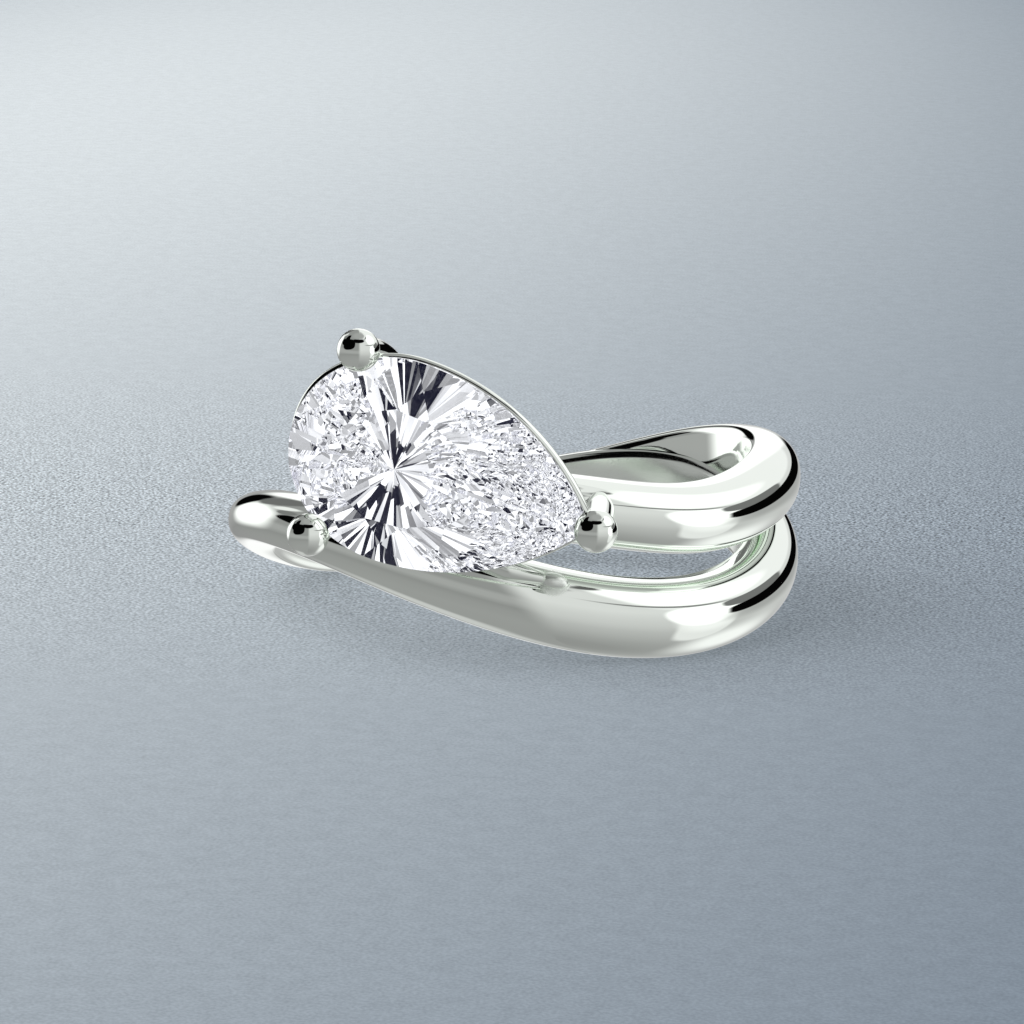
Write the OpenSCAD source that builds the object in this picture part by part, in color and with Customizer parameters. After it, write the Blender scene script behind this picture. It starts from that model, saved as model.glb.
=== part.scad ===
// Split-shank ring with a pear-cut stone set across the finger in a three-claw head.
// Z is the finger axis and the ring lies on its side: the stone faces -Y, and angles
// are degrees counter-clockwise from +X as seen from above, so the stone is at -90.

/* [Band] */
// Radius of the finger hole
finger_r = 8.5; // [8:0.25:9.5]
// Thickness of both strands at the crown of their dome
crown_t = 1.95; // [1.7:0.05:2.1]
// Thickness of a strand at the foot of its dome
edge_t = 0.55; // [0.45:0.05:0.7]
// Rounding of the two edges that touch the finger
edge_round = 0.35; // [0.25:0.05:0.4]
// Fullness of the dome: 2 is an ellipse, more is squarer
dome_power = 2.2; // [2:0.1:2.6]

/* [Stone] */
// Length of the stone's round end, from its widest line
stone_head = 3.9; // [3.6:0.1:4.2]
// Length of the stone's pointed end, from its widest line
stone_tail = 7.1; // [6.6:0.1:7.6]
// Half of the stone's width
stone_half = 3.55; // [3.3:0.05:3.8]
// Depth below the girdle
pavilion_h = 3.1; // [2.8:0.1:3.2]
// Height of the crown above the girdle
crown_h = 1.05; // [0.9:0.05:1.3]
// Thickness of the girdle
girdle_h = 0.14; // [0.1:0.02:0.2]
// Table size as a share of the outline
table_share = 0.56; // [0.5:0.02:0.62]

/* [Head] */
// Height of the girdle above the finger hole
girdle_lift = 3.6; // [3.5:0.05:3.8]
// How far the stone's widest line lies to the left of the head's centre
stone_left = 0.95; // [0.8:0.05:1.1]
// Height of the stone's widest point above the middle of the band
stone_up = 4.25; // [4.1:0.05:4.4]
// Turn of the stone, pointed end down
stone_turn = 14.8; // [12:0.2:17]
// Radius of the claws' round tips
ball_r = 0.74; // [0.65:0.01:0.8]
// Radius of the claws' stems
claw_r = 0.5; // [0.4:0.02:0.55]
// Radius of the gallery rail's wire
rail_r = 0.19; // [0.17:0.01:0.22]
// Gap between the stone and its seat
seat_gap = 0.05; // [0.04:0.01:0.08]

/* [Hidden] */

// Stations round a strand, in degrees
STATION = 4;
DOME_POINTS = 11;
EDGE_POINTS = 4;

// Lower strand, a closed loop. Columns: height of its middle, width. One row each 30
// degrees, the first at -180; both columns are control values of a smooth spline.
LOWER = [
    [-0.9, 2.45],  // -180, the left end
    [0.7, 1.9],
    [0.9, 2.05],
    [-0.15, 2.8],  // -90, under the stone
    [-1.5, 2.9],
    [-2.0, 2.75],
    [-1.3, 2.7],   // 0, the right end
    [-0.15, 2.6],
    [0.65, 2.8],
    [0.0, 2.8],    // 90, the back
    [-1.4, 2.7],
    [-2.15, 2.7],
];
// Upper strand, open. Columns: height of its middle, width, thickness at the crown and
// how far its inside stands back from the finger. One row each 30 degrees, from -90.
UPPER = [
    [2.7, 2.35, 1.85, 0],   // -90, its end under the stone
    [2.35, 2.4, 1.87, 0],
    [1.4, 2.5, 1.88, 0],
    [2.1, 2.65, 1.88, 0],   // 0, the right end
    [2.3, 2.7, 1.88, 0.1],
    [1.55, 2.7, 1.88, 0.25],
    [-0.1, 2.5, 1.8, 0.25], // 90, where it joins the lower strand
    [-1.45, 2.3, 1.7, 0.2],
];
UPPER_FROM = -85;
UPPER_TO = 112;
// Rounded end of the upper strand under the stone: its length in degrees, the share of
// the full size that it starts from, and how far that start lies deeper
NOSE = 7;
NOSE_SHARE = 0.35;
NOSE_DROP = 0.2;

function column(table, k) = [for (row = table) row[k]];

// Uniform cubic spline of the control values c, one each 30 degrees: the weighted sum,
// then its value at an angle for a closed row of values and for an open one
function spline_sum(a, b, c, d, t) =
    (a * pow(1 - t, 3) + b * (3 * pow(t, 3) - 6 * t * t + 4)
     + c * (-3 * pow(t, 3) + 3 * t * t + 3 * t + 1) + d * pow(t, 3)) / 6;
function wrap(c, i) = c[(i + 10 * len(c)) % len(c)];
function clamp(c, i) = c[max(0, min(len(c) - 1, i))];
function loop_value(c, angle) =
    let (x = (angle + 180) / 30, i = floor(x))
    spline_sum(wrap(c, i - 1), wrap(c, i), wrap(c, i + 1), wrap(c, i + 2), x - i);
function open_value(c, angle) =
    let (x = (angle + 90) / 30, i = floor(x))
    spline_sum(clamp(c, i - 1), clamp(c, i), clamp(c, i + 1), clamp(c, i + 2), x - i);

// Cross-section of a strand as [distance from the finger, height] points: the dome
// from bottom to top, then the rounded edges that touch the finger
function powered(x, p) = sign(x) * pow(abs(x), p);
function strand_section(w, t) = concat(
    [for (i = [0:DOME_POINTS - 1]) let (a = -90 + 180 * i / (DOME_POINTS - 1))
        [edge_t + (t - edge_t) * powered(cos(a), 2 / dome_power),
         w / 2 * powered(sin(a), 2 / dome_power)]],
    [for (i = [0:EDGE_POINTS - 1]) let (b = 90 * i / (EDGE_POINTS - 1))
        [edge_round * (1 - sin(b)), w / 2 - edge_round * (1 - cos(b))]],
    [for (i = [0:EDGE_POINTS - 1]) let (b = 90 * i / (EDGE_POINTS - 1))
        [edge_round * (1 - cos(b)), edge_round * (1 - sin(b)) - w / 2]]
);
function stand_up(section, angle, z, set_back) =
    [for (p = section) let (r = finger_r + p[0] + set_back)
        [r * cos(angle), r * sin(angle), z + p[1]]];

// A skin over rings of points, each ring with the same number of points
module skin(rings, closed) {
    k = len(rings[0]);
    n = len(rings);
    last = closed ? n - 1 : n - 2;
    sides = [for (i = [0:last], j = [0:k - 1]) let (i2 = (i + 1) % n, j2 = (j + 1) % k)
        [i * k + j, i * k + j2, i2 * k + j2, i2 * k + j]];
    caps = closed ? []
        : [[for (j = [0:k - 1]) k - 1 - j], [for (j = [0:k - 1]) (n - 1) * k + j]];
    polyhedron(points = [for (ring = rings) each ring], faces = concat(sides, caps), convexity = 8);
}

module lower_strand() {
    skin([for (a = [-180:STATION:179]) let (
            z = loop_value(column(LOWER, 0), a),
            w = loop_value(column(LOWER, 1), a))
        stand_up(strand_section(w, crown_t), a, z, 0)], true);
}

module upper_strand() {
    nose = [for (s = [0:3]) UPPER_FROM + NOSE * (1 - cos(s * 30))];
    rest = [for (a = [UPPER_FROM + NOSE + STATION:STATION:UPPER_TO]) a];
    skin([for (a = concat(nose, rest)) let (
            into = min(1, (a - UPPER_FROM) / NOSE),
            round_off = NOSE_SHARE + (1 - NOSE_SHARE) * sqrt(1 - pow(1 - into, 2)),
            z = open_value(column(UPPER, 0), a),
            w = open_value(column(UPPER, 1), a) * round_off,
            t = open_value(column(UPPER, 2), a) * round_off,
            back = open_value(column(UPPER, 3), a) + NOSE_DROP * (1 - round_off))
        stand_up(strand_section(w, max(t, edge_t)), a, z, back)], false);
}

// The stone's own axes: x runs to its point, y across it and z out of its table, from
// the middle of the girdle where the stone is widest
module at_stone() {
    translate([-stone_left, -finger_r - girdle_lift, stone_up])
        rotate([90, 0, 0]) rotate([0, 0, -stone_turn]) children();
}

// Distance of the pear outline from that middle, at an angle from the pointed end: a
// half ellipse at the round end and two arcs that meet at the point
function pear_r(angle, out = 0) =
    let (b = stone_half + out,
         h = stone_tail + out,
         arc = (h * h + b * b) / (2 * b),
         s = abs(sin(angle)))
    cos(angle) < 0
        ? 1 / sqrt(pow(cos(angle) / (stone_head + out), 2) + pow(s / b, 2))
        : sqrt(pow((arc - b) * s, 2) + arc * arc - pow(arc - b, 2)) - (arc - b) * s;
function pear_at(angle, out = 0) = pear_r(angle, out) * [cos(angle), sin(angle)];
// Direction of the outline there; at the point, straight across it
NUDGE = 0.5;
function pear_along(angle, out) =
    angle == 0 ? [0, 1]
    : let (d = pear_at(angle + NUDGE, out) - pear_at(angle - NUDGE, out)) d / norm(d);

// Angles of the main facets, from the point round to the round end and back
MAINS = [0, 28, 62, 98, 138, 180, 222, 262, 298, 332];
// Height of the star points in the crown and of the lower points in the pavilion
STAR_SHARE = 0.55;
LOWER_SHARE = 0.25;

// Where two main facets cross at the height h: each is a plane through the point p
// with the normal n
function crossing(p1, n1, p2, n2, h) =
    let (d = n1[0] * n2[1] - n1[1] * n2[0],
         c1 = n1 * p1 - n1[2] * h, c2 = n2 * p2 - n2[2] * h)
    [(c1 * n2[1] - c2 * n1[1]) / d, (n1[0] * c2 - n2[0] * c1) / d, h];

// The stone, or its seat when out is more than 0
module pear_cut(out = 0) {
    n = len(MAINS);
    half = girdle_h / 2 + out;
    table_z = half + crown_h;
    culet = [0, 0, -half - pavilion_h];
    next = function(i) (i + 1) % n;
    mid = [for (i = [0:n - 1]) (MAINS[i] + (i == n - 1 ? 360 : MAINS[i + 1])) / 2];
    main = [for (a = MAINS) pear_at(a, out)];
    between = [for (a = mid) pear_at(a, out)];
    along = [for (a = MAINS) let (t = pear_along(a, out)) [t[0], t[1], 0]];
    table = [for (p = main) [p[0] * table_share, p[1] * table_share, table_z]];
    crown_n = [for (i = [0:n - 1]) cross(along[i], table[i] - [main[i][0], main[i][1], half])];
    base_n = [for (i = [0:n - 1]) cross(along[i], culet - [main[i][0], main[i][1], -half])];
    star = [for (i = [0:n - 1])
        crossing(table[i], crown_n[i], table[next(i)], crown_n[next(i)], half + STAR_SHARE * crown_h)];
    low = [for (i = [0:n - 1])
        crossing(culet, base_n[i], culet, base_n[next(i)], -half - (1 - LOWER_SHARE) * pavilion_h)];
    // Points in the order table, star, upper girdle (mains, then between), lower girdle
    // (mains, then between), low points and the culet
    points = concat(table, star,
        [for (p = main) [p[0], p[1], half]], [for (p = between) [p[0], p[1], half]],
        [for (p = main) [p[0], p[1], -half]], [for (p = between) [p[0], p[1], -half]],
        low, [culet]);
    crown = [for (i = [0:n - 1]) let (j = next(i), s = n + i, b = (i + n - 1) % n) each [
        [j, s, i],
        [s, 2 * n + i, n + b, i],
        [3 * n + i, 2 * n + i, s],
        [2 * n + j, 3 * n + i, s]]];
    girdle = [for (i = [0:n - 1]) let (j = next(i)) each [
        [3 * n + i, 5 * n + i, 4 * n + i, 2 * n + i],
        [2 * n + j, 4 * n + j, 5 * n + i, 3 * n + i]]];
    pavilion = [for (i = [0:n - 1]) let (j = next(i), b = (i + n - 1) % n) each [
        [5 * n + i, 6 * n + i, 4 * n + i],
        [4 * n + j, 6 * n + i, 5 * n + i],
        [6 * n + i, 7 * n, 6 * n + b, 4 * n + i]]];
    top = [[for (i = [n - 1:-1:0]) i]];
    polyhedron(points = points, faces = concat(top, crown, girdle, pavilion), convexity = 2);
}

// A round wire along a path of points, its sections turned to the path; where the path
// is steep its sections take their zero from Y instead of Z
WIRE_SIDES = 10;
STEEP = 0.8;
module wire(path, radii, closed = false, sides = WIRE_SIDES) {
    n = len(path);
    skin([for (i = [0:n - 1]) let (
            before = closed ? path[(i + n - 1) % n] : path[max(0, i - 1)],
            after = closed ? path[(i + 1) % n] : path[min(n - 1, i + 1)],
            d = (after - before) / norm(after - before),
            side = cross(d, abs(d[2]) > STEEP ? [0, 1, 0] : [0, 0, 1]),
            u = side / norm(side),
            v = cross(u, d),
            r = is_list(radii) ? radii[i] : radii)
        [for (j = [0:sides - 1]) let (b = 360 * j / sides)
            path[i] + r * (cos(b) * u + sin(b) * v)]], closed);
}
// A curve from a to c that sets out towards b
BEND_STEPS = 8;
function bend(a, b, c) =
    [for (i = [0:BEND_STEPS]) let (t = i / BEND_STEPS)
        a * pow(1 - t, 2) + b * 2 * t * (1 - t) + c * t * t];

// Gallery rail under the girdle: its height, how far it lies outside the outline, and
// its points and sides
RAIL_Z = -0.45;
RAIL_OUT = -0.11;
RAIL_STEPS = 60;
RAIL_SIDES = 8;
module gallery_rail() {
    wire([for (i = [0:RAIL_STEPS - 1]) let (p = pear_at(360 * i / RAIL_STEPS, RAIL_OUT))
        [p[0], p[1], RAIL_Z]], rail_r, true, RAIL_SIDES);
}

// Claws. Columns: angle round the stone, knee [distance from the middle, z], foot
// [distance, z], both at that angle, and the stem's size as a share of claw_r. The balls
// sit just outside the girdle.
BALL_OUT = 0.39;
BALL_Z = 0.45;
CLAWS = [
    [124, [3.65, -3.05], [1.65, -2.75], 1],  // upper left, down to the base ring
    [-123, [3.85, -1.3], [4.0, -3.1], 1],    // lower left, down to the lower strand
    [0.8, [7.0, -1.6], [6.4, -3.8], 1.16],   // at the point, down to the upper strand
];
module claw(row) {
    function at(distance, z) = [distance * cos(row[0]), distance * sin(row[0]), z];
    ball = at(pear_r(row[0]) + BALL_OUT, BALL_Z);
    translate(ball) sphere(r = ball_r, $fn = 32);
    wire(bend(ball, at(row[1][0], row[1][1]), at(row[2][0], row[2][1])), claw_r * row[3]);
}

// Ring of wire round the stone's culet, where the claws meet
BASE_RING_R = 1.7;
BASE_WIRE_R = 0.42;
BASE_RING_Z = -2.75;
module base_ring() {
    translate([0, 0, BASE_RING_Z]) rotate_extrude($fn = 48)
        translate([BASE_RING_R, 0]) circle(r = BASE_WIRE_R, $fn = 24);
}

// Strut from the head to the shoulder of the lower strand, and its foot with a knob on
// its end. Columns: angle, distance from the finger, height, radius.
STRUT = [[-85, 1.4, 1.35, 0.45], [-76, 1.6, 0.6, 0.3], [-68, 1.6, 0.02, 0.18]];
FOOT = [[-69.5, 1.55, 0.1, 0.22], [-64.5, 1.65, -0.2, 0.22]];
KNOB_R = 0.27;
function on_band(row) =
    let (r = finger_r + row[1]) [r * cos(row[0]), r * sin(row[0]), row[2]];
module strut() {
    wire([for (row = STRUT) on_band(row)], column(STRUT, 3));
    wire([for (row = FOOT) on_band(row)], column(FOOT, 3));
    translate(on_band(FOOT[1])) sphere(r = KNOB_R, $fn = 24);
}

// Length of the finger's cylinder, well past both faces
THROUGH = 30;

module band_and_head() {
    color("gainsboro") difference() {
        union() {
            lower_strand();
            upper_strand();
            strut();
            at_stone() {
                gallery_rail();
                base_ring();
                for (row = CLAWS) claw(row);
            }
        }
        cylinder(r = finger_r, h = THROUGH, center = true, $fn = 96);
        at_stone() pear_cut(seat_gap);
    }
}

module pear_stone() {
    color("aliceblue") at_stone() pear_cut();
}

band_and_head();
pear_stone();
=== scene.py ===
import math

import bmesh
import bpy
import numpy as np
from mathutils import Matrix, Vector


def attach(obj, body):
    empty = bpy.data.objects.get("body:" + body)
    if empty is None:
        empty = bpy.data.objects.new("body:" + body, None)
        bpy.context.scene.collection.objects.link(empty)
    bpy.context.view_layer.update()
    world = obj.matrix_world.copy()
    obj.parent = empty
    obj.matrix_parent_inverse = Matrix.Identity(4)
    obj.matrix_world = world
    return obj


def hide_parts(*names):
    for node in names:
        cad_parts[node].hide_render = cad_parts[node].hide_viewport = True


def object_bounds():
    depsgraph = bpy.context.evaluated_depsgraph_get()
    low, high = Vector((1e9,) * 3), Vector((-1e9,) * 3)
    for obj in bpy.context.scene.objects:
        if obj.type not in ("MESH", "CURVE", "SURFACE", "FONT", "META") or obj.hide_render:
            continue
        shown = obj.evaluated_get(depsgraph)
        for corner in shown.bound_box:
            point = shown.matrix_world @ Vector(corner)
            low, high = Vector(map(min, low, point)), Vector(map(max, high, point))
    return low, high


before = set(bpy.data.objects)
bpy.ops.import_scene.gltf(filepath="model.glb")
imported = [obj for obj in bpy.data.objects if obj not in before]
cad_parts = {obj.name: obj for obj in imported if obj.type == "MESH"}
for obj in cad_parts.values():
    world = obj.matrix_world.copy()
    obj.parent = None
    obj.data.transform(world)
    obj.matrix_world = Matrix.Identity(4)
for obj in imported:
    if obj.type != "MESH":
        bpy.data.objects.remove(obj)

cad_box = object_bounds()


# The two strands of the band, white gold with a mirror polish, domed outside and flat
# inside. The lower one is a closed ring in waves. The upper one leaves it at the back of
# the finger, sweeps up and round, and ends under the stone.
# Lengths are in millimetres; the finger's axis is Z, and the stone faces -Y
MM = 0.001
FINGER_R = 8.5
CROWN_T = 1.95
EDGE_T = 0.55
EDGE_ROUND = 0.35
DOME_POWER = 2.2
ROW_ANGLE = 30
# Height of the middle and width, one row each 30 degrees, the first at -180
LOWER = [
    (-0.9, 2.45),
    (0.7, 1.9),
    (0.9, 2.05),
    (-0.15, 2.8),
    (-1.5, 2.9),
    (-2.0, 2.75),
    (-1.3, 2.7),
    (-0.15, 2.6),
    (0.65, 2.8),
    (0.0, 2.8),
    (-1.4, 2.7),
    (-2.15, 2.7),
]
# Height of the middle, width, thickness and set-back of the inside, the first at -90
UPPER = [
    (2.7, 2.35, 1.85, 0),
    (2.35, 2.4, 1.87, 0),
    (1.4, 2.5, 1.88, 0),
    (2.1, 2.65, 1.88, 0),
    (2.3, 2.7, 1.88, 0.1),
    (1.55, 2.7, 1.88, 0.25),
    (-0.1, 2.5, 1.8, 0.25),
    (-1.45, 2.3, 1.7, 0.2),
]
UPPER_FROM = -85
UPPER_TO = 112
# The upper strand's rounded end: its length in degrees, the share of the section at its
# tip, how far the tip keeps off the finger, and the steps of its curve
NOSE = 7
NOSE_SHARE = 0.35
NOSE_DROP = 0.2
NOSE_STEP = 5
# Points across the dome and round an edge, and the degrees from section to section
DOME_POINTS = 53
EDGE_POINTS = 8
STATION = 1.0
WELD = 1e-4


def spline(rows, place, closed):
    """All columns at a place counted in rows, on a uniform cubic spline."""
    i = math.floor(place)
    t = place - i
    weights = ((1 - t) ** 3, 3 * t ** 3 - 6 * t * t + 4, -3 * t ** 3 + 3 * t * t + 3 * t + 1, t ** 3)
    total = 0
    for k, weight in enumerate(weights):
        row = (i - 1 + k) % len(rows) if closed else min(max(i - 1 + k, 0), len(rows) - 1)
        total = total + weight * np.array(rows[row], float)
    return total / 6


def powered(x, p):
    return math.copysign(abs(x) ** p, x)


def strand_section(width, thickness):
    """Points (distance from the finger, height) round a strand, from its lower edge."""
    points = []
    for i in range(DOME_POINTS):
        a = math.radians(-90 + 180 * i / (DOME_POINTS - 1))
        out = EDGE_T + (thickness - EDGE_T) * powered(math.cos(a), 2 / DOME_POWER)
        points.append((out, width / 2 * powered(math.sin(a), 2 / DOME_POWER)))
    for side in (1, -1):
        for i in range(EDGE_POINTS)[::side]:
            b = math.pi / 2 * i / (EDGE_POINTS - 1)
            from_middle = width / 2 - EDGE_ROUND * (1 - math.cos(b))
            points.append((EDGE_ROUND * (1 - math.sin(b)), side * from_middle))
    return points


def stand_up(section, angle, height, set_back=0.0):
    """The section as points in space, at an angle round the finger."""
    c, s = math.cos(math.radians(angle)), math.sin(math.radians(angle))
    return [((FINGER_R + set_back + d) * c, (FINGER_R + set_back + d) * s, height + z) for d, z in section]


def skin(bm, rings, closed=False):
    """Adds a closed skin over rings of points to a mesh in the making."""
    rows = [[bm.verts.new(p) for p in ring] for ring in rings]
    n, k = len(rows), len(rows[0])
    for i in range(n if closed else n - 1):
        here, there = rows[i], rows[(i + 1) % n]
        for j in range(k):
            bm.faces.new((here[j], there[j], there[(j + 1) % k], here[(j + 1) % k]))
    if not closed:
        bm.faces.new(rows[0])
        bm.faces.new(rows[-1])


def as_object(bm, name):
    """The mesh in the making as an object in metres, its normals outwards."""
    bmesh.ops.remove_doubles(bm, verts=bm.verts, dist=WELD)
    bmesh.ops.recalc_face_normals(bm, faces=bm.faces)
    bmesh.ops.scale(bm, vec=(MM, MM, MM), verts=bm.verts)
    mesh = bpy.data.meshes.new(name)
    bm.to_mesh(mesh)
    bm.free()
    piece = bpy.data.objects.new(name, mesh)
    bpy.context.scene.collection.objects.link(piece)
    return piece


def lower_strand():
    rings = []
    for angle in np.arange(-180, 180, STATION):
        height, width = spline(LOWER, (angle + 180) / ROW_ANGLE, True)
        rings.append(stand_up(strand_section(width, CROWN_T), angle, height))
    bm = bmesh.new()
    skin(bm, rings, closed=True)
    return as_object(bm, "lower_strand")


def upper_strand():
    nose = [UPPER_FROM + NOSE * (1 - math.cos(math.radians(s))) for s in range(0, 90, NOSE_STEP)]
    rings = []
    for angle in nose + list(np.arange(UPPER_FROM + NOSE, UPPER_TO + STATION, STATION)):
        height, width, thickness, set_back = spline(UPPER, (angle + 90) / ROW_ANGLE, False)
        left = max(0.0, 1 - (angle - UPPER_FROM) / NOSE)
        share = NOSE_SHARE + (1 - NOSE_SHARE) * math.sqrt(1 - left * left)
        section = strand_section(width * share, max(thickness * share, EDGE_T))
        rings.append(stand_up(section, angle, height, set_back + NOSE_DROP * (1 - share)))
    bm = bmesh.new()
    skin(bm, rings)
    return as_object(bm, "upper_strand")


# The stone: a pear-cut diamond of 11 by 7.1 mm, ground facet by facet out of a block.
# It lies slanted across the finger, its point down and to the right, under three claws.
STONE_HEAD = 3.9
STONE_TAIL = 7.1
STONE_HALF = 3.55
PAVILION_H = 3.1
CROWN_H = 1.05
GIRDLE_H = 0.14
TABLE_SHARE = 0.56
GIRDLE_LIFT = 3.6
STONE_LEFT = 0.95
STONE_UP = 4.25
STONE_TURN = 14.8
CROWN_MAINS = [0, 28, 62, 98, 138, 180, 222, 262, 298, 332]
BASE_MAINS = [0, 20, 40, 62, 84, 106, 130, 155, 180, 205, 230, 254, 276, 298, 320, 340]
STAR_SHARE = 0.55
LOWER_SHARE = 0.14
CULET_AT = (-0.15, -0.46)
OUTLINE_STEP = 4
TANGENT_STEP = 0.5
GIRDLE_FACETS = (0.25, 0.75)
BLOCK_BELOW = 0.5
LEAST_CUT = 1e-4
CUT_SNAP = 1e-5
SEAT_GAP = 0.05
DIAMOND_IOR = 2.417
DIAMOND_TINTS = ((0.965, 0.972, 1.0, 1), (1.0, 1.0, 1.0, 1))
DIAMOND_SPECULAR = (0.1, 0.1, 0.12, 1)
DIAMOND_CLOUDS = 700.0
AT_STONE = (
    Matrix.Translation((-STONE_LEFT, -FINGER_R - GIRDLE_LIFT, STONE_UP))
    @ Matrix.Rotation(math.radians(90), 4, "X")
    @ Matrix.Rotation(math.radians(-STONE_TURN), 4, "Z")
)


def pear_r(angle, out=0.0):
    """Distance of the pear outline from the middle of its widest line."""
    half, tail = STONE_HALF + out, STONE_TAIL + out
    c, s = math.cos(math.radians(angle)), abs(math.sin(math.radians(angle)))
    if c < 0:
        return 1 / math.hypot(c / (STONE_HEAD + out), s / half)
    arc = (tail * tail + half * half) / (2 * half)
    return math.sqrt(((arc - half) * s) ** 2 + arc * arc - (arc - half) ** 2) - (arc - half) * s


def pear_at(angle, z=0.0, out=0.0):
    r = pear_r(angle, out)
    return Vector((r * math.cos(math.radians(angle)), r * math.sin(math.radians(angle)), z))


def facet(angle, z, inner, out):
    """A facet plane that touches the outline at an angle and passes through a point."""
    here = pear_at(angle, z, out)
    if angle % 360 == 0:
        along = Vector((0, 1, 0))
    else:
        along = pear_at(angle + TANGENT_STEP, z, out) - pear_at(angle - TANGENT_STEP, z, out)
    normal = along.cross(inner - here).normalized()
    return here, normal if normal.dot(here) > 0 else -normal


def meeting(first, second, z):
    """Where two facet planes and a level plane meet."""
    rows = Matrix((first[1], second[1], Vector((0, 0, 1))))
    return rows.inverted() @ Vector((first[1].dot(first[0]), second[1].dot(second[0]), z))


def grind(bm, plane):
    """Takes away what lies outside a facet plane and closes the cut with the facet."""
    if max((v.co - plane[0]).dot(plane[1]) for v in bm.verts) < LEAST_CUT:
        return
    everything = bm.verts[:] + bm.edges[:] + bm.faces[:]
    cut = bmesh.ops.bisect_plane(
        bm, geom=everything, dist=CUT_SNAP, plane_co=plane[0], plane_no=plane[1], clear_outer=True)
    rim = [e for e in cut["geom_cut"] if isinstance(e, bmesh.types.BMEdge)]
    bmesh.ops.edgeloop_fill(bm, edges=rim)


def cut_half(bm, mains, z, table, apex_of, share, out):
    """One half of the stone: its main facets, and two girdle facets between each pair."""
    planes = [facet(a, z, apex_of(a), out) for a in mains]
    for plane in planes:
        grind(bm, plane)
    corners = []
    for i, angle in enumerate(mains):
        j = (i + 1) % len(mains)
        after = mains[j] if j else 360
        corner = meeting(planes[i], planes[j], z + share * (table - z))
        corners.append(corner)
        for part in GIRDLE_FACETS:
            grind(bm, facet(angle + part * (after - angle), z, corner, out))
    return corners


def pear_solid(name, out=0.0):
    """The cut stone, or with some room round it the seat for it."""
    top, bottom = GIRDLE_H / 2 + out, -GIRDLE_H / 2 - out
    table = top + CROWN_H
    culet = Vector((*CULET_AT, bottom - PAVILION_H))
    bm = bmesh.new()
    levels = (culet.z - BLOCK_BELOW, table)
    skin(bm, [[pear_at(a, z, out) for a in range(0, 360, OUTLINE_STEP)] for z in levels])
    bmesh.ops.recalc_face_normals(bm, faces=bm.faces)

    def corner_of(a):
        return pear_at(a, 0, out) * TABLE_SHARE + Vector((0, 0, table))

    stars = cut_half(bm, CROWN_MAINS, top, table, corner_of, STAR_SHARE, out)
    for i, star in enumerate(stars):
        a, b = corner_of(CROWN_MAINS[i]), corner_of(CROWN_MAINS[(i + 1) % len(stars)])
        normal = (b - a).cross(star - a).normalized()
        grind(bm, (a, normal if normal.z > 0 else -normal))
    cut_half(bm, BASE_MAINS, bottom, culet.z, lambda a: culet, 1 - LOWER_SHARE, out)
    bmesh.ops.transform(bm, matrix=AT_STONE, verts=bm.verts)
    return as_object(bm, name)


def node(tree, kind, inputs=None, **settings):
    """A shader node: a socket given for an input is linked, anything else is its value."""
    made = tree.nodes.new("ShaderNode" + kind)
    for key, value in settings.items():
        setattr(made, key, value)
    for key, value in (inputs or {}).items():
        if isinstance(value, bpy.types.NodeSocket):
            tree.links.new(value, made.inputs[key])
        else:
            made.inputs[key].default_value = value
    return made


def maths(tree, operation, *values):
    return node(tree, "Math", dict(enumerate(values)), operation=operation).outputs[0]


def noise(tree, place, scale, detail):
    return node(tree, "TexNoise", {"Vector": place, "Scale": scale, "Detail": detail}).outputs["Fac"]


def mixed(tree, share, first, second, blend="MIX"):
    """Two colours mixed by a share from 0 to 1."""
    colours = {0: share, 6: first, 7: second}
    return node(tree, "Mix", colours, data_type="RGBA", blend_type=blend).outputs[2]


def scaled(tree, value, low, high, to_low, to_high, smooth="LINEAR"):
    """A value's range from low to high, spread over another range."""
    ends = {"From Min": low, "From Max": high, "To Min": to_low, "To Max": to_high}
    return node(tree, "MapRange", {"Value": value, **ends}, interpolation_type=smooth).outputs[0]


def new_material(name):
    material = bpy.data.materials.new(name)
    material.use_nodes = True
    material.node_tree.nodes.clear()
    return material, material.node_tree


def diamond():
    """Clear diamond with a breath of blue. The metal's polish doesn't mirror it."""
    material, tree = new_material("diamond")
    place = node(tree, "TexCoord").outputs["Object"]
    tint = node(tree, "ValToRGB", {"Fac": noise(tree, place, DIAMOND_CLOUDS, 2.0)})
    for element, colour in zip(tint.color_ramp.elements, DIAMOND_TINTS):
        element.color = colour
    paths = node(tree, "LightPath").outputs
    outside = maths(tree, "LESS_THAN", paths["Transmission Depth"], 0.5)
    mirrored = maths(tree, "MULTIPLY", paths["Is Glossy Ray"], outside)
    shader = node(tree, "BsdfPrincipled", {
        "Base Color": tint.outputs["Color"],
        "Roughness": 0.0,
        "IOR": DIAMOND_IOR,
        "Transmission Weight": 1.0,
        "Specular Tint": DIAMOND_SPECULAR,
        "Alpha": maths(tree, "SUBTRACT", 1.0, mirrored),
    })
    node(tree, "OutputMaterial", {"Surface": shader.outputs["BSDF"]})
    return material


stone = pear_solid("cut_pear_stone")
stone.data.materials.append(diamond())
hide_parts("pear_stone")
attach(stone, "root")


# The head that holds the stone, soldered from white gold wire: a rail under its edge, a
# ring round its bottom point, and three claws with round tips, whose stems run down to
# the ring or to the strands.
RAIL_Z = -0.45
RAIL_OUT = -0.11
RAIL_R = 0.19
# The rail stands further out beside the upper claw: how far, where and over what angle
RAIL_WIDE = 0.12
RAIL_WIDE_AT = 158
RAIL_WIDE_HALF = 45
RAIL_STEP = 1.5
BALL_R = 0.74
BALL_OUT = 0.39
BALL_Z = 0.45
CLAW_R = 0.5
END_SHARE = 1.04
# A stem tapers from this share of its length on, by this share of its size
STEM_BEND = 0.55
STEM_TAPER = 0.4
STEM_POWER = 1.5
STEM_STEPS = 32
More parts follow.
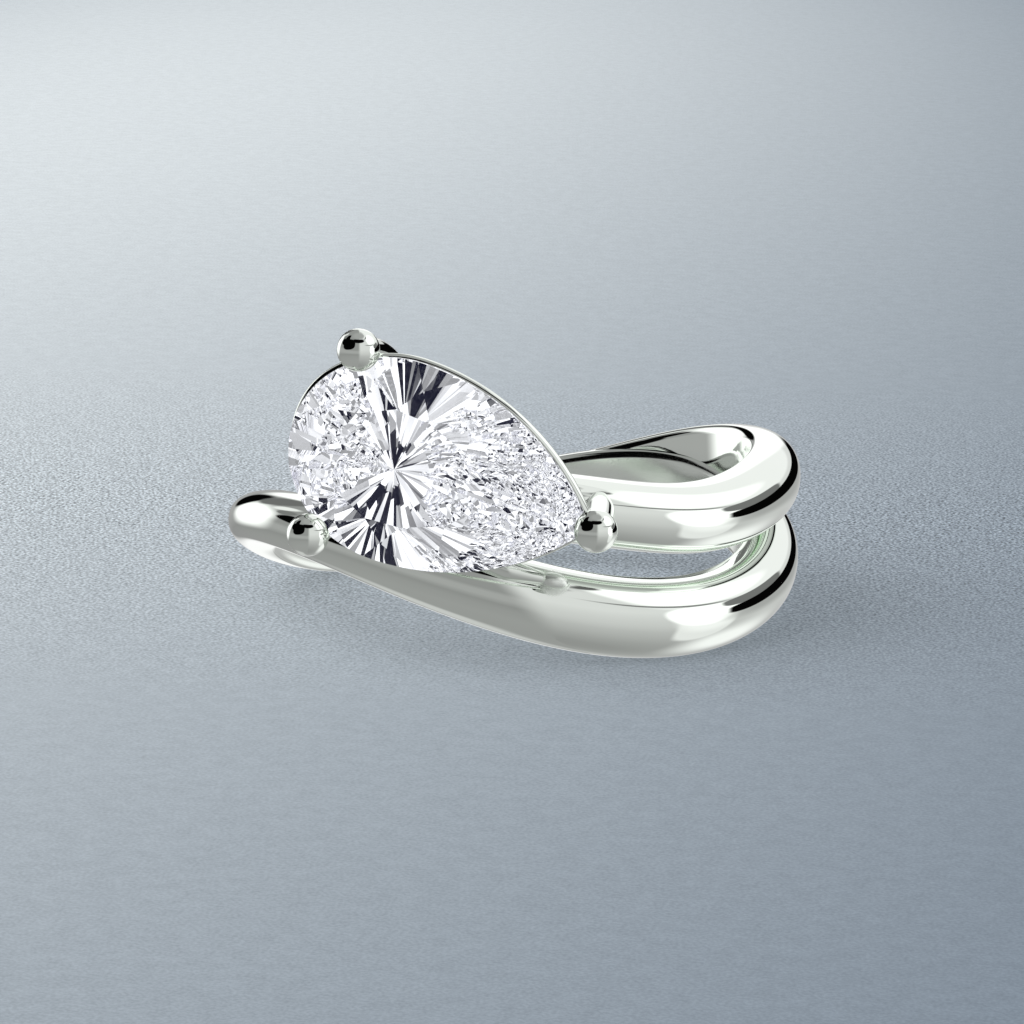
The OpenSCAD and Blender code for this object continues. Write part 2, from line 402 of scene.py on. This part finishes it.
# Angle round the stone, knee and foot (distance from its middle, z) and stem's size
CLAWS = [
    (124, (3.65, -3.05), (1.65, -2.75), 1),
    (-123, (3.85, -1.3), (4.0, -3.1), 1),
    (0.8, (7.0, -1.6), (6.4, -3.8), 1.16),
]
BASE_RING_R = 1.7
BASE_WIRE_R = 0.42
BASE_RING_Z = -2.75
BASE_RING_STEP = 4
WIRE_SIDES = 28
BEAD_CUTS = 4


def wire(name, path, radii, closed=False, lie=AT_STONE):
    """A round wire along a path, its sections turned to the path without a twist."""
    path = [Vector(p) for p in path]
    n = len(path)
    rings = []
    side = None
    for i, p in enumerate(path):
        before = path[i - 1] if i or closed else p
        after = path[(i + 1) % n] if i < n - 1 or closed else p
        along = (after - before).normalized()
        side = along.orthogonal() if side is None else side - along * side.dot(along)
        side.normalize()
        up = along.cross(side)
        turns = [2 * math.pi * j / WIRE_SIDES for j in range(WIRE_SIDES)]
        rings.append([p + radii[i] * (math.cos(t) * side + math.sin(t) * up) for t in turns])
    bm = bmesh.new()
    skin(bm, rings, closed)
    bmesh.ops.transform(bm, matrix=lie, verts=bm.verts)
    return as_object(bm, name)


def bead(name, radius, shape, lie=AT_STONE):
    """A ball of metal, moved and stretched by its shape."""
    bm = bmesh.new()
    bmesh.ops.create_icosphere(bm, subdivisions=BEAD_CUTS, radius=radius, matrix=shape)
    bmesh.ops.transform(bm, matrix=lie, verts=bm.verts)
    return as_object(bm, name)


def gallery_rail():
    path = []
    for a in np.arange(0, 360, RAIL_STEP):
        near = max(0.0, 1 - abs(a - RAIL_WIDE_AT) / RAIL_WIDE_HALF)
        path.append(pear_at(a, RAIL_Z, RAIL_OUT + RAIL_WIDE * near * near * (3 - 2 * near)))
    return wire("gallery_rail", path, [RAIL_R] * len(path), closed=True)


def base_ring():
    turns = [math.radians(a) for a in range(0, 360, BASE_RING_STEP)]
    path = [(BASE_RING_R * math.cos(t), BASE_RING_R * math.sin(t), BASE_RING_Z) for t in turns]
    return wire("base_ring", path, [BASE_WIRE_R] * len(path), closed=True)


def claw_parts(angle, knee, foot, size):
    """A claw's stem, its round tip and its rounded foot, as solids."""
    c, s = math.cos(math.radians(angle)), math.sin(math.radians(angle))
    tip = (pear_r(angle) + BALL_OUT, BALL_Z)
    ball, knee, foot = [Vector((distance * c, distance * s, z)) for distance, z in (tip, knee, foot)]
    path = []
    radii = []
    for i in range(STEM_STEPS + 1):
        t = i / STEM_STEPS
        past_bend = max(0.0, (t - STEM_BEND) / (1 - STEM_BEND))
        path.append(ball * (1 - t) ** 2 + knee * 2 * t * (1 - t) + foot * t * t)
        radii.append(CLAW_R * size * (1 - STEM_TAPER * past_bend ** STEM_POWER))
    parts = [wire("claw_stem", path, radii)]
    for place, radius in ((ball, BALL_R), (path[-1], radii[-1] * END_SHARE)):
        parts.append(bead("claw_end", radius, Matrix.Translation(place)))
    return parts


# The strut is a tapered rod of white gold that lies soldered on top of the lower strand,
# from under the stone to the strand's shoulder, where it ends in a foot, a stretched
# bead of solder.
# Angle round the finger, distance from it, height and radius
STRUT = [(-85, 1.4, 1.05, 0.5), (-76, 1.65, 0.36, 0.37), (-69, 1.66, 0.06, 0.2)]
STRUT_STEPS = 24
FOOT_FROM = (-69.4, 1.56, 0.02)
FOOT_TO = (-64.2, 1.58, -0.15)
FOOT_HALF = (0.53, 0.29, 0.29)


def on_band(angle, distance, height):
    r = FINGER_R + distance
    return Vector((r * math.cos(math.radians(angle)), r * math.sin(math.radians(angle)), height))


def strut_parts():
    rows = np.array(STRUT)
    last = len(rows) - 1
    path = []
    radii = []
    for step in range(STRUT_STEPS + 1):
        place = last * step / STRUT_STEPS
        i = min(int(place), last - 1)
        row = rows[i] + (place - i) * (rows[i + 1] - rows[i])
        path.append(on_band(*row[:3]))
        radii.append(float(row[3]))
    start, end = on_band(*FOOT_FROM), on_band(*FOOT_TO)
    turned = (end - start).to_track_quat("X", "Z").to_matrix().to_4x4()
    shape = Matrix.Translation((start + end) / 2) @ (turned @ Matrix.Diagonal((*FOOT_HALF, 1)))
    here = Matrix.Identity(4)
    return [wire("strut", path, radii, lie=here), bead("strut_foot", 1, shape, lie=here)]


# All the metal is soldered into one piece, and then the finger hole and the stone's seat
# are cut. It is polished to a mirror, a little softer inside the band and on the strut's
# solder.
HOLE_CLEAR = 0.02
HOLE_HALF = 15
HOLE_STEP = 1
JOIN_M = 1e-7
SHARP_EDGE = math.radians(28)
GOLD_TONES = ((0.89, 0.94, 0.885, 1), (0.915, 0.955, 0.91, 1))
GOLD_THROUGH_STONE = (0.93, 0.93, 0.95, 1)
HAZE_SCALE = 450.0
NOISE_RANGE = (0.3, 0.7)
POLISH = (0.012, 0.03)
# Roughness inside the band, and between which distances from the finger it fades
BORE_SHINE = 0.12
BORE_FADE = (0.045, 0.15)
# Roughness of the solder, and between which distances from its middle it fades
SOLDER_SHINE = 0.34
SOLDER_FADE = (0.45, 0.66)
MARK_SCALE = 2600.0
MARK_STRENGTH = 0.02
MARK_DEPTH = 0.00001


def solder(first, others, operation="UNION"):
    """Joins solids into the first, or cuts them out of it, and keeps the one mesh."""
    for other in others:
        step = first.modifiers.new("solder", "BOOLEAN")
        step.operation = operation
        step.solver = "MANIFOLD"
        step.object = other
        graph = bpy.context.evaluated_depsgraph_get()
        done = bpy.data.meshes.new_from_object(first.evaluated_get(graph))
        first.modifiers.clear()
        first.data = done
        bpy.data.objects.remove(other)
        bpy.context.view_layer.update()
    return first


def finger_hole():
    bm = bmesh.new()
    turns = [math.radians(a) for a in range(0, 360, HOLE_STEP)]
    r = FINGER_R + HOLE_CLEAR
    skin(bm, [[(r * math.cos(t), r * math.sin(t), z) for t in turns] for z in (-HOLE_HALF, HOLE_HALF)])
    return as_object(bm, "finger_hole")


def white_gold():
    """Polished white gold, faintly warm. Seen through the stone it is neutral."""
    material, tree = new_material("white_gold")
    place = node(tree, "TexCoord").outputs["Object"]
    haze = noise(tree, place, HAZE_SCALE, 3.0)
    tone = mixed(tree, haze, *GOLD_TONES)
    flat = node(tree, "VectorMath", {0: place, 1: (1.0, 1.0, 0.0)}, operation="MULTIPLY")
    from_axis = node(tree, "VectorMath", {0: flat.outputs["Vector"]}, operation="LENGTH").outputs["Value"]
    bore_ends = [(FINGER_R + distance) * MM for distance in BORE_FADE]
    bore = scaled(tree, from_axis, *bore_ends, BORE_SHINE, 0.0, "SMOOTHSTEP")
    foot = (on_band(*FOOT_FROM) + on_band(*FOOT_TO)) / 2 * MM
    from_foot = node(tree, "VectorMath", {0: place, 1: foot}, operation="DISTANCE").outputs["Value"]
    solder_ends = [distance * MM for distance in SOLDER_FADE]
    soldered = scaled(tree, from_foot, *solder_ends, SOLDER_SHINE, 0.0, "SMOOTHSTEP")
    satin = maths(tree, "MAXIMUM", bore, soldered)
    gloss = maths(tree, "ADD", scaled(tree, haze, *NOISE_RANGE, *POLISH), satin)
    lines = noise(tree, place, MARK_SCALE, 4.0)
    marks = node(tree, "Bump", {"Height": lines, "Strength": MARK_STRENGTH, "Distance": MARK_DEPTH})
    depth = node(tree, "LightPath").outputs["Transmission Depth"]
    through = maths(tree, "GREATER_THAN", depth, 0.5)
    shader = node(tree, "BsdfPrincipled", {
        "Base Color": mixed(tree, through, tone, GOLD_THROUGH_STONE),
        "Metallic": 1.0,
        "Roughness": gloss,
        "Normal": marks.outputs["Normal"],
    })
    node(tree, "OutputMaterial", {"Surface": shader.outputs["BSDF"]})
    return material


claws = [part for row in CLAWS for part in claw_parts(*row)]
head = solder(gallery_rail(), [base_ring()] + claws)
head = solder(head, [finger_hole()], "DIFFERENCE")
metal = solder(lower_strand(), [upper_strand(), head] + strut_parts())
metal = solder(metal, [pear_solid("seat", SEAT_GAP)], "DIFFERENCE")
metal.name = "polished_band_and_head"
bm = bmesh.new()
bm.from_mesh(metal.data)
bmesh.ops.remove_doubles(bm, verts=bm.verts, dist=JOIN_M)
# Rounding in the joins may not carry a point out of the part's box
for v in bm.verts:
    v.co = [min(max(c, least), most) for c, least, most in zip(v.co, *cad_box)]
for f in bm.faces:
    f.smooth = True
for e in bm.edges:
    e.smooth = len(e.link_faces) == 2 and e.calc_face_angle() < SHARP_EDGE
bm.to_mesh(metal.data)
bm.free()
metal.data.materials.clear()
metal.data.materials.append(white_gold())
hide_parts("band_and_head")
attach(metal, "root")


# The paper that the ring lies on: pale blue-grey with a fine tooth, with a pool of light painted
# into its colour, brightest at the far left, and part of its tone given off as a painted glow.
FLOOR_SIZE = 4.0
LOW = min(v.co.z for v in metal.data.vertices)
CAMERA_SIDE = -75
# The paper's tone in painted shade outside the pool, and in painted light at the pool's middle
PAPER_SHADED_TONE = (0.15, 0.195, 0.253, 1)
PAPER_LIT_TONE = (0.72, 0.77, 0.797, 1)
# Share of the paper's tone that it gives off as a painted glow, keeping its shadows faint; the rest it
# reflects
GLOW_SHARE = 0.5
# The painted pool of light on the paper, in metres across and away from the camera's side
POOL_ACROSS = -0.043
POOL_AWAY = 0.154
POOL_HALF_WIDTH = 0.097
POOL_HALF_LENGTH = 0.411
POOL_SLANT = 0.143
POOL_EDGE = 0.25
# The tooth: where it is sharpest, how far that reaches, what is left beyond it, and how
# much the grain is stretched away from the camera
TOOTH_AWAY = 0.02
TOOTH_REACH = 0.036
TOOTH_BLUR = 0.12
TOOTH_LENGTH = 0.15
FINE_SCALE = 8500.0
FINE_SHADE = (-0.8, 0.8)
COARSE_SCALE = 1500.0
COARSE_SHADE = (0.96, 1.04)


def toward(turn, rise):
    """A direction from its turn round Z and its rise, both in degrees."""
    turn, rise = math.radians(turn), math.radians(rise)
    return Vector((math.cos(turn) * math.cos(rise), math.sin(turn) * math.cos(rise), math.sin(rise)))


def along_of(tree, place, direction):
    """How far a place lies along a direction."""
    return node(tree, "VectorMath", {0: place, 1: direction}, operation="DOT_PRODUCT").outputs["Value"]


ACROSS = Vector((0, 0, 1)).cross(toward(CAMERA_SIDE, 0))
AWAY = -toward(CAMERA_SIDE, 0)


def paper():
    material, tree = new_material("paper")
    place = node(tree, "TexCoord").outputs["Object"]
    slanted = ACROSS - POOL_SLANT * AWAY
    slanted_at = POOL_ACROSS - POOL_SLANT * POOL_AWAY
    reach = []
    for way, centre, half in ((slanted, slanted_at, POOL_HALF_WIDTH), (AWAY, POOL_AWAY, POOL_HALF_LENGTH)):
        off = maths(tree, "SUBTRACT", along_of(tree, place, way / half), centre / half)
        reach.append(maths(tree, "POWER", off, 2.0))
    pool = maths(tree, "EXPONENT", maths(tree, "MULTIPLY", maths(tree, "ADD", *reach), -1.0))
    # The paper's colour carries a painted pool of light, and painted shade away from it
    tone = mixed(tree, scaled(tree, pool, POOL_EDGE, 1.0, 0.0, 1.0), PAPER_SHADED_TONE, PAPER_LIT_TONE)
    near = along_of(tree, place, AWAY)
    off = maths(tree, "ABSOLUTE", maths(tree, "SUBTRACT", near, TOOTH_AWAY))
    sharp = scaled(tree, off, 0.0, TOOTH_REACH, 1.0, TOOTH_BLUR)
    back = node(tree, "VectorMath", {0: AWAY * -TOOTH_LENGTH, "Scale": near}, operation="SCALE")
    laid = node(tree, "VectorMath", {0: place, 1: back.outputs["Vector"]}, operation="ADD").outputs["Vector"]
    fine = scaled(tree, noise(tree, laid, FINE_SCALE, 2.0), *NOISE_RANGE, *FINE_SHADE)
    coarse = scaled(tree, noise(tree, laid, COARSE_SCALE, 3.0), *NOISE_RANGE, *COARSE_SHADE)
    grain = maths(tree, "ADD", maths(tree, "MULTIPLY", fine, sharp), coarse)
    tone = mixed(tree, 1.0, tone, grain, "MULTIPLY")
    shader = node(tree, "BsdfPrincipled", {
        "Base Color": mixed(tree, 1.0, tone, (1 - GLOW_SHARE,) * 3 + (1,), "MULTIPLY"),
        "Roughness": 1.0,
        "Specular IOR Level": 0.0,
        # The paper glows with part of its own tone: painted light, not a lamp
        "Emission Color": tone,
        "Emission Strength": GLOW_SHARE,
    })
    node(tree, "OutputMaterial", {"Surface": shader.outputs["BSDF"]})
    return material


bm = bmesh.new()
half = FLOOR_SIZE / 2
corners = ((-half, -half), (half, -half), (half, half), (-half, half))
bm.faces.new([bm.verts.new((x, y, LOW)) for x, y in corners])
mesh = bpy.data.meshes.new("paper_floor")
bm.to_mesh(mesh)
bm.free()
floor = bpy.data.objects.new("paper_floor", mesh)
bpy.context.scene.collection.objects.link(floor)
floor.data.materials.append(paper())
floor.visible_glossy = False
floor.visible_transmission = False


# The studio: a pale tent with white panels and dark gaps, which the polish mirrors. Its
# directions are in degrees: the turn to the right of the camera's side, and the rise.
TENT_SEAM = (0, 16)
# Rise and brightness of the tent, left and right of its seam
LEFT_TENT = [
    (-90, 0.33), (-50, 0.34), (-28, 0.32), (-17, 0.29), (-8, 0.39), (0, 0.39), (8, 0.30), (60, 0.31),
    (75, 0.38),
]
RIGHT_TENT = [
    (-90, 0.30), (-75, 0.31), (-55, 0.37), (-25, 0.50), (-12, 0.61), (12, 0.74), (50, 0.74), (75, 0.38),
]
BLACK = 0.0015
# Turn, rise, half width, half height, tilt, squareness, softness and brightness
PANELS = {
    "top_light": (122, 38, 60, 25, 0, 3.5, 0.08, 0.94),
    "top_core": (99, 42, 36, 18, 0, 3, 0.15, 1.2),
    "top_strip": (105, 65.5, 50, 3.0, 0, 3, 0.3, 0.85),
    "top_line": (82, 60.5, 19, 2.2, 6, 2, 0.4, 0.12),
    "low_glow": (127, -39, 28, 16, 0, 2, 0.6, 1.0),
    "side_fade": (86.5, -15, 15.5, 28, 0, 2.3, 0.12, 0.84),
    "side_middle": (86, -3, 16, 21, 0, 2.2, 0.3, 0.98),
    "side_light": (83.5, 3, 18, 17, 0, 2.2, 0.12, 1.3),
    "thin_gap": (72, 25, 29, 2.0, -11, 2.5, 0.4, 0.22),
    "grey_step": (113, 11.5, 19, 7, -4, 3, 0.08, 0.18),
    "gap_fade": (136, -7, 36, 6, 2, 3, 0.5, 0.4),
    "right_gap": (134, 0.5, 38, 6.5, 2, 5, 0.05, BLACK),
    "left_black": (-79, 36, 45, 14.5, -25, 2.4, 0.05, BLACK),
    "claw_black": (-57, 31, 38, 26, 12, 2.6, 0.05, BLACK),
    "black_arch": (0, 55.5, 50, 10.5, 0, 2.6, 0.1, BLACK),
    "left_light": (-135, 6, 20, 21, 0, 2.4, 0.3, 1.3),
    "left_tip": (-140, 35, 6, 7, 0, 2, 0.3, 0.9),
    "left_grey": (-126, 34, 7, 6, 0, 2, 0.2, 0.2),
    "left_patch": (-103, 26, 16, 9.5, -8, 3, 0.1, BLACK),
    "back_light": (178, 17, 12, 14, 0, 2.4, 0.2, 1.2),
    "back_spot": (-162, 9, 8, 11, 0, 2, 0.15, BLACK),
    "back_grey": (-159, 27, 11, 9, 0, 2.4, 0.2, 0.16),
    "low_left": (-155, -52, 27, 12, -25, 2, 0.5, 0.6),
    "rim_light": (-176.5, -21, 5.5, 8, 0, 2, 0.5, 1.02),
}
PANEL_INPUTS = ["Turn", "Rise", "Half Width", "Half Height", "Tilt", "Squareness", "Softness"]


def panel_group():
    """How far a direction lies inside a soft-edged, tilted panel, from 0 to 1."""
    tree = bpy.data.node_groups.new("panel", "ShaderNodeTree")
    for name in ["At Turn", "At Rise"] + PANEL_INPUTS:
        tree.interface.new_socket(name, in_out="INPUT", socket_type="NodeSocketFloat")
    tree.interface.new_socket("Inside", in_out="OUTPUT", socket_type="NodeSocketFloat")
    get = tree.nodes.new("NodeGroupInput").outputs
    across = maths(tree, "WRAP", maths(tree, "SUBTRACT", get["At Turn"], get["Turn"]), 180.0, -180.0)
    above = maths(tree, "SUBTRACT", get["At Rise"], get["Rise"])
    tilt = maths(tree, "RADIANS", get["Tilt"])
    c, s = maths(tree, "COSINE", tilt), maths(tree, "SINE", tilt)
    along = maths(tree, "ADD", maths(tree, "MULTIPLY", across, c), maths(tree, "MULTIPLY", above, s))
    beside = maths(tree, "SUBTRACT", maths(tree, "MULTIPLY", above, c), maths(tree, "MULTIPLY", across, s))
    reach = []
    for away, half in ((along, "Half Width"), (beside, "Half Height")):
        share = maths(tree, "DIVIDE", maths(tree, "ABSOLUTE", away), get[half])
        reach.append(maths(tree, "POWER", share, get["Squareness"]))
    edge = maths(tree, "POWER", maths(tree, "ADD", *reach), maths(tree, "DIVIDE", 1.0, get["Squareness"]))
    start = maths(tree, "SUBTRACT", 1.0, get["Softness"])
    end = maths(tree, "ADD", 1.0, get["Softness"])
    inside = scaled(tree, edge, start, end, 1.0, 0.0, "SMOOTHSTEP")
    tree.links.new(inside, tree.nodes.new("NodeGroupOutput").inputs[0])
    return tree


def ramp(tree, share, stops):
    """Greys between stops, each a share from 0 to 1 and a brightness."""
    made = node(tree, "ValToRGB", {"Fac": share})
    elements = made.color_ramp.elements
    for i, (position, value) in enumerate(stops):
        element = elements[i] if i < 2 else elements.new(1.0)
        element.position = position
        element.color = (value, value, value, 1)
    return made.outputs["Color"]


def tent(tree, rise, stops):
    """The brightness of the tent at a rise, between its stops."""
    share = scaled(tree, rise, -90, 90, 0, 1)
    return ramp(tree, share, [((degrees + 90) / 180, value) for degrees, value in stops])


def studio():
    world = bpy.data.worlds.new("studio")
    world.use_nodes = True
    tree = world.node_tree
    tree.nodes.clear()
    direction = node(tree, "TexCoord").outputs["Generated"]
    back_turn = math.radians(-CAMERA_SIDE)
    turned = node(tree, "VectorRotate", {"Vector": direction, "Axis": (0, 0, 1), "Angle": back_turn})
    axes = node(tree, "SeparateXYZ", {0: turned.outputs[0]}).outputs
    turn = maths(tree, "DEGREES", maths(tree, "ARCTAN2", axes["Y"], axes["X"]))
    rise = maths(tree, "DEGREES", maths(tree, "ARCSINE", axes["Z"]))
    seam = scaled(tree, turn, *TENT_SEAM, 0, 1, "SMOOTHSTEP")
    light = mixed(tree, seam, tent(tree, rise, LEFT_TENT), tent(tree, rise, RIGHT_TENT))
    panel = panel_group()
    for name, row in PANELS.items():
        mask = node(tree, "Group", node_tree=panel, name=name)
        tree.links.new(turn, mask.inputs["At Turn"])
        tree.links.new(rise, mask.inputs["At Rise"])
        for key, value in zip(PANEL_INPUTS, row):
            mask.inputs[key].default_value = value
        light = mixed(tree, mask.outputs[0], light, (row[-1], row[-1], row[-1], 1))
    return world, tree, light


# What the stone gathers instead: a cloudy bright tent with deep blue gaps round the
# camera's side, which lie between these degrees from that side.
CAMERA_RISE = 10.66
STONE_GAPS = [(0, 14), (18.5, 22), (26.5, 30), (36.5, 39), (44.5, 46.5)]
GAP_EDGE = 0.5
CLOUD_SCALE = 9.0
CLOUD_SPREAD = (0.41, 0.57)
CLOUD_LIGHT = (0.36, 1.42)
CLOUD_TINT = (0.955, 0.97, 1.0, 1)
GAP_LIGHT = (0.008, 0.009, 0.022, 1)


def stone_light(tree):
    direction = node(tree, "TexCoord").outputs["Generated"]
    facing = along_of(tree, direction, toward(CAMERA_SIDE, CAMERA_RISE))
    half_turns = maths(tree, "DIVIDE", maths(tree, "ARCCOSINE", facing), math.pi)
    stops = []
    for start, end in STONE_GAPS:
        stops += [(start - GAP_EDGE, 1.0), (start, 0.0), (end, 0.0), (end + GAP_EDGE, 1.0)]
    gaps = ramp(tree, half_turns, [(max(degrees, 0) / 180, value) for degrees, value in stops])
    white = scaled(tree, noise(tree, direction, CLOUD_SCALE, 2.0), *CLOUD_SPREAD, *CLOUD_LIGHT)
    tint = mixed(tree, 1.0, CLOUD_TINT, white, "MULTIPLY")
    return mixed(tree, gaps, GAP_LIGHT, tint)


# The light on the paper: an even tent and a wide soft window, low and to the left of the
# camera's side, just as bright together as leaves open paper at its own tone.
WINDOW_TURN = -55
WINDOW_RISE = 30
WINDOW_POWER = 4
WINDOW_LIGHT = 5.69
TENT_SHARE = 0.2


def paper_light(tree):
    direction = node(tree, "TexCoord").outputs["Generated"]
    facing = along_of(tree, direction, toward(CAMERA_SIDE + WINDOW_TURN, WINDOW_RISE))
    fade = maths(tree, "POWER", maths(tree, "MAXIMUM", facing, 0.0), WINDOW_POWER)
    window = maths(tree, "MULTIPLY", fade, WINDOW_LIGHT * (1 - TENT_SHARE))
    return maths(tree, "ADD", window, TENT_SHARE)


world, tree, light = studio()
paths = node(tree, "LightPath").outputs
mirrored = node(tree, "Background", {"Color": light})
gathered = node(tree, "Background", {"Color": stone_light(tree)})
plain = mixed(tree, paths["Is Diffuse Ray"], (1.0, 1.0, 1.0, 1), paper_light(tree))
direct = node(tree, "Background", {"Color": plain})
through = maths(tree, "GREATER_THAN", paths["Transmission Depth"], 0.5)
seen = node(tree, "MixShader", {0: through, 1: mirrored.outputs[0], 2: gathered.outputs[0]})
first = maths(tree, "MAXIMUM", paths["Is Camera Ray"], paths["Is Diffuse Ray"])
shown = node(tree, "MixShader", {0: first, 1: seen.outputs[0], 2: direct.outputs[0]})
node(tree, "OutputWorld", {"Surface": shown.outputs[0]})
# The studio is met by mirrored and gathered rays alone, so it sends out none of its own
world.cycles.sampling_method = "NONE"
bpy.context.scene.world = world


# The camera, at the photograph's angle: 175 mm away, 10.7 degrees above the ring.
CAMERA_AT = 0.175
CAMERA_ROLL = math.radians(1.67)
FOCUS_PX = 4770.13
CENTRE_PX = (513.67, 524.99)
FRAME_PX = 1024
SENSOR = 36.0
NEAREST = 0.01
# Enough for the light to find its way out of the stone and out of the hollow of the band
BOUNCES = 64
back = toward(CAMERA_SIDE, CAMERA_RISE)
up = back.cross(ACROSS)
roll_c, roll_s = math.cos(CAMERA_ROLL), math.sin(CAMERA_ROLL)
right, up = roll_c * ACROSS + roll_s * up, roll_c * up - roll_s * ACROSS
lens = bpy.data.cameras.new("camera")
camera = bpy.data.objects.new("camera", lens)
bpy.context.scene.collection.objects.link(camera)
turned = Matrix((right, up, back)).transposed().to_4x4()
camera.matrix_world = Matrix.Translation(back * CAMERA_AT) @ turned
lens.sensor_width = SENSOR
lens.lens = FOCUS_PX / FRAME_PX * SENSOR
lens.shift_x = (FRAME_PX / 2 - CENTRE_PX[0]) / FRAME_PX
lens.shift_y = (CENTRE_PX[1] - FRAME_PX / 2) / FRAME_PX
lens.clip_start = NEAREST
bpy.context.scene.camera = camera
bpy.context.scene.view_settings.view_transform = "Standard"
cycles = bpy.context.scene.cycles
cycles.glossy_bounces = BOUNCES
cycles.transmission_bounces = BOUNCES
cycles.max_bounces = BOUNCES
